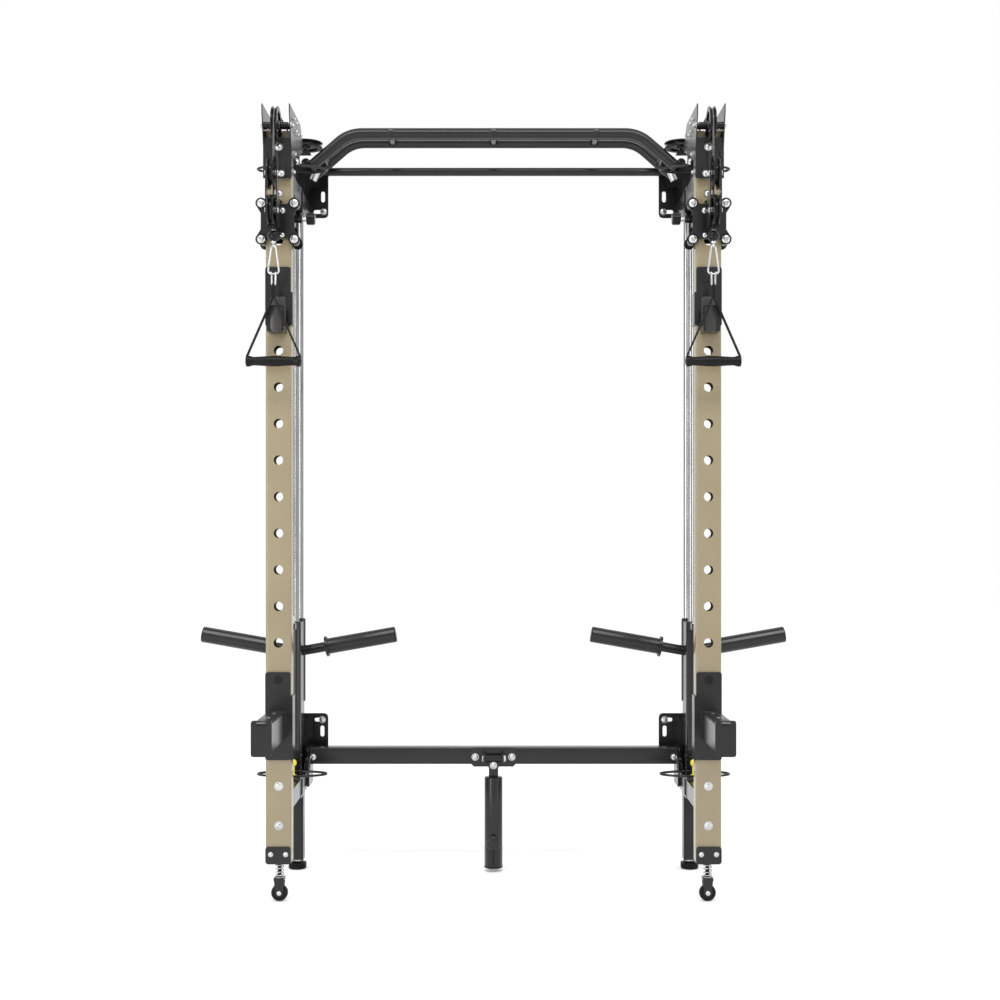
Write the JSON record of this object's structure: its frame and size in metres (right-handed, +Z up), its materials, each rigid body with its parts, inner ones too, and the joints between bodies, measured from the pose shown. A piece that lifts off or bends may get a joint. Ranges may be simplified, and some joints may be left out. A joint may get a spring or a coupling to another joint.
{
  "type": "power cage",
  "caption": "Wall-mounted folding power rack with plate-loaded cable towers, pull-up bar, safety arms, bar hooks and a landmine sleeve.",
  "frame": {"origin": "on the floor, at the middle of the box of the rack", "axes": "+Z up, +Y to the wall, +X to the right of someone facing the wall"},
  "size_m": [1.7672, 0.768, 2.213],
  "materials": {
    "beige_paint": "satin powder coat",
    "black_paint": "satin powder coat",
    "chrome": "polished",
    "zinc_steel": "bright zinc",
    "black_rubber": "matt",
    "black_plastic": "moulded",
    "yellow_plastic": "moulded",
    "cable_coat": "nylon coat on steel rope"
  },
  "bodies": {
    "wall_frame": {"cross_beam": "black_paint", "tie_bar": "black_paint", "pull_up_bar": "black_paint", "landmine_bracket": "black_paint", "left_wall_bracket_top": "black_paint", "left_wall_bracket_bottom": "black_paint", "left_guide_rod_front": "chrome", "left_guide_rod_rear": "chrome", "left_bumper": "black_rubber", "right_wall_bracket_top": "black_paint", "right_wall_bracket_bottom": "black_paint", "right_guide_rod_front": "chrome", "right_guide_rod_rear": "chrome", "right_bumper": "black_rubber"},
    "left_gate": {"left_upright": "beige_paint", "left_gate_top_arm": "black_paint", "left_gate_lower_arm": "black_paint", "left_pulley_bracket": "black_paint", "left_j_hook": "black_paint", "left_spotter_arm": "black_paint", "left_caster_bracket": "black_paint", "left_cable": "cable_coat"},
    "left_carriage_body": {"left_carriage": "black_paint"},
    "left_fold_pin_body": {"left_fold_pin": "yellow_plastic"},
    "left_levelling_foot_body": {"left_levelling_foot": "black_rubber"},
    "left_top_pulley_body": {"left_top_pulley": "black_plastic"},
    "left_drop_pulley_body": {"left_drop_pulley": "black_plastic"},
    "left_idler_pulley_body": {"left_idler_pulley": "black_plastic"},
    "left_trolley_body": {"left_trolley": "black_paint"},
    "left_trolley_pin_body": {"left_trolley_pin": "black_plastic"},
    "left_swivel_bracket_body": {"left_swivel_bracket": "black_paint"},
    "left_swivel_pulley_body": {"left_swivel_pulley": "black_plastic"},
    "left_handle_link_body": {"left_handle_link": "zinc_steel"},
    "left_handle_body": {"left_handle": "black_rubber"},
    "left_caster_fork_body": {"left_caster_fork": "black_paint"},
    "left_caster_wheel_body": {"left_caster_wheel": "black_rubber"},
    "right_gate": {"right_upright": "beige_paint", "right_gate_top_arm": "black_paint", "right_gate_lower_arm": "black_paint", "right_pulley_bracket": "black_paint", "right_j_hook": "black_paint", "right_spotter_arm": "black_paint", "right_caster_bracket": "black_paint", "right_cable": "cable_coat"},
    "right_carriage_body": {"right_carriage": "black_paint"},
    "right_fold_pin_body": {"right_fold_pin": "yellow_plastic"},
    "right_levelling_foot_body": {"right_levelling_foot": "black_rubber"},
    "right_top_pulley_body": {"right_top_pulley": "black_plastic"},
    "right_drop_pulley_body": {"right_drop_pulley": "black_plastic"},
    "right_idler_pulley_body": {"right_idler_pulley": "black_plastic"},
    "right_trolley_body": {"right_trolley": "black_paint"},
    "right_trolley_pin_body": {"right_trolley_pin": "black_plastic"},
    "right_swivel_bracket_body": {"right_swivel_bracket": "black_paint"},
    "right_swivel_pulley_body": {"right_swivel_pulley": "black_plastic"},
    "right_handle_link_body": {"right_handle_link": "zinc_steel"},
    "right_handle_body": {"right_handle": "black_rubber"},
    "right_caster_fork_body": {"right_caster_fork": "black_paint"},
    "right_caster_wheel_body": {"right_caster_wheel": "black_rubber"},
    "landmine_yoke_body": {"landmine_yoke": "black_paint"},
    "landmine_sleeve_body": {"landmine_sleeve": "black_paint"}
  },
  "joints": [
    {"name": "left_gate_fold", "type": "hinge", "parent": "wall_frame", "child": "left_gate", "pos_m": [-0.588, 0.164, 0.265], "axis": [0, 0, 1], "range_deg": [0, 90]},
    {"name": "left_carriage_lift", "type": "slide", "parent": "wall_frame", "child": "left_carriage_body", "axis": [0, 0, 1], "range_m": [0, 1.1], "deforming": ["left_cable"]},
    {"name": "left_fold_pin_lift", "type": "slide", "parent": "wall_frame", "child": "left_fold_pin_body", "axis": [0, 0, 1], "range_m": [0, 0.045]},
    {"name": "left_foot_turn", "type": "hinge", "parent": "wall_frame", "child": "left_levelling_foot_body", "pos_m": [-0.591, 0.295, 0], "axis": [0, 0, 1], "continuous": true},
    {"name": "left_idler_spin", "type": "hinge", "parent": "wall_frame", "child": "left_idler_pulley_body", "pos_m": [-0.56, 0.249, 2.166], "axis": [0, 0, 1], "continuous": true},
    {"name": "left_top_pulley_spin", "type": "hinge", "parent": "left_gate", "child": "left_top_pulley_body", "pos_m": [-0.59, -0.151, 2.117], "axis": [1, 0, 0], "range_deg": [0, 1500]},
    {"name": "left_drop_pulley_spin", "type": "hinge", "parent": "left_gate", "child": "left_drop_pulley_body", "pos_m": [-0.588, 0.1207, 2.117], "axis": [1, 0, 0], "range_deg": [0, 1500]},
    {"name": "left_trolley_slide", "type": "slide", "parent": "left_gate", "child": "left_trolley_body", "axis": [0, 0, 1], "range_m": [-0.05, 0.04]},
    {"name": "left_trolley_pin_pull", "type": "slide", "parent": "left_trolley_body", "child": "left_trolley_pin_body", "axis": [1, 0, 0], "range_m": [0, 0.01]},
    {"name": "left_swivel_turn", "type": "hinge", "parent": "left_trolley_body", "child": "left_swivel_bracket_body", "pos_m": [-0.59, -0.1943, 1.86], "axis": [0, 0, 1], "range_deg": [-20, 20]},
    {"name": "left_swivel_pulley_spin", "type": "hinge", "parent": "left_swivel_bracket_body", "child": "left_swivel_pulley_body", "pos_m": [-0.59, -0.2283, 1.87], "axis": [1, 0, 0], "range_deg": [-1900, 0]},
    {"name": "left_handle_pull", "type": "slide", "parent": "left_swivel_bracket_body", "child": "left_handle_link_body", "axis": [0, -0.8, -0.6], "range_m": [0, 1.1]},
    {"name": "left_handle_swing", "type": "hinge", "parent": "left_handle_link_body", "child": "left_handle_body", "pos_m": [-0.59, -0.1943, 1.6759], "axis": [1, 0, 0], "range_deg": [-75, 0]},
    {"name": "left_caster_spring", "type": "slide", "parent": "left_gate", "child": "left_caster_fork_body", "axis": [0, 0, 1], "range_m": [0, 0.02], "stiffness_N_per_m": 10000, "springref_m": -0.03},
    {"name": "left_caster_wheel_spin", "type": "hinge", "parent": "left_caster_fork_body", "child": "left_caster_wheel_body", "pos_m": [-0.588, -0.096, 0.023], "axis": [0, 1, 0], "continuous": true},
    {"name": "right_gate_fold", "type": "hinge", "parent": "wall_frame", "child": "right_gate", "pos_m": [0.588, 0.164, 0.265], "axis": [0, 0, 1], "range_deg": [-90, 0]},
    {"name": "right_carriage_lift", "type": "slide", "parent": "wall_frame", "child": "right_carriage_body", "axis": [0, 0, 1], "range_m": [0, 1.1], "deforming": ["right_cable"]},
    {"name": "right_fold_pin_lift", "type": "slide", "parent": "wall_frame", "child": "right_fold_pin_body", "axis": [0, 0, 1], "range_m": [0, 0.045]},
    {"name": "right_foot_turn", "type": "hinge", "parent": "wall_frame", "child": "right_levelling_foot_body", "pos_m": [0.591, 0.295, 0], "axis": [0, 0, 1], "continuous": true},
    {"name": "right_idler_spin", "type": "hinge", "parent": "wall_frame", "child": "right_idler_pulley_body", "pos_m": [0.56, 0.249, 2.166], "axis": [0, 0, 1], "continuous": true},
    {"name": "right_top_pulley_spin", "type": "hinge", "parent": "right_gate", "child": "right_top_pulley_body", "pos_m": [0.59, -0.151, 2.117], "axis": [1, 0, 0], "range_deg": [0, 1500]},
    {"name": "right_drop_pulley_spin", "type": "hinge", "parent": "right_gate", "child": "right_drop_pulley_body", "pos_m": [0.588, 0.1207, 2.117], "axis": [1, 0, 0], "range_deg": [0, 1500]},
    {"name": "right_trolley_slide", "type": "slide", "parent": "right_gate", "child": "right_trolley_body", "axis": [0, 0, 1], "range_m": [-0.05, 0.04]},
    {"name": "right_trolley_pin_pull", "type": "slide", "parent": "right_trolley_body", "child": "right_trolley_pin_body", "axis": [-1, 0, 0], "range_m": [0, 0.01]},
    {"name": "right_swivel_turn", "type": "hinge", "parent": "right_trolley_body", "child": "right_swivel_bracket_body", "pos_m": [0.59, -0.1943, 1.86], "axis": [0, 0, 1], "range_deg": [-20, 20]},
    {"name": "right_swivel_pulley_spin", "type": "hinge", "parent": "right_swivel_bracket_body", "child": "right_swivel_pulley_body", "pos_m": [0.59, -0.2283, 1.87], "axis": [1, 0, 0], "range_deg": [-1900, 0]},
    {"name": "right_handle_pull", "type": "slide", "parent": "right_swivel_bracket_body", "child": "right_handle_link_body", "axis": [0, -0.8, -0.6], "range_m": [0, 1.1]},
    {"name": "right_handle_swing", "type": "hinge", "parent": "right_handle_link_body", "child": "right_handle_body", "pos_m": [0.59, -0.1943, 1.6759], "axis": [1, 0, 0], "range_deg": [-75, 0]},
    {"name": "right_caster_spring", "type": "slide", "parent": "right_gate", "child": "right_caster_fork_body", "axis": [0, 0, 1], "range_m": [0, 0.02], "stiffness_N_per_m": 10000, "springref_m": -0.03},
    {"name": "right_caster_wheel_spin", "type": "hinge", "parent": "right_caster_fork_body", "child": "right_caster_wheel_body", "pos_m": [0.588, -0.096, 0.023], "axis": [0, 1, 0], "continuous": true},
    {"name": "landmine_lift", "type": "hinge", "parent": "wall_frame", "child": "landmine_yoke_body", "pos_m": [0, 0.2607, 0.335], "axis": [1, 0, 0], "range_deg": [-85, 0]},
    {"name": "landmine_swivel", "type": "hinge", "parent": "landmine_yoke_body", "child": "landmine_sleeve_body", "pos_m": [0, 0.2607, 0.316], "axis": [0, 1, 0], "range_deg": [-45, 45]}
  ],
  "couplings": [
    {"joint": "left_top_pulley_spin", "follows": "left_carriage_lift", "rad_per_m": 23.095},
    {"joint": "left_drop_pulley_spin", "follows": "left_carriage_lift", "rad_per_m": 23.095},
    {"joint": "left_swivel_pulley_spin", "follows": "left_carriage_lift", "rad_per_m": -29.412},
    {"joint": "left_handle_pull", "follows": "left_carriage_lift", "ratio": 1},
    {"joint": "right_top_pulley_spin", "follows": "right_carriage_lift", "rad_per_m": 23.095},
    {"joint": "right_drop_pulley_spin", "follows": "right_carriage_lift", "rad_per_m": 23.095},
    {"joint": "right_swivel_pulley_spin", "follows": "right_carriage_lift", "rad_per_m": -29.412},
    {"joint": "right_handle_pull", "follows": "right_carriage_lift", "ratio": 1}
  ]
}
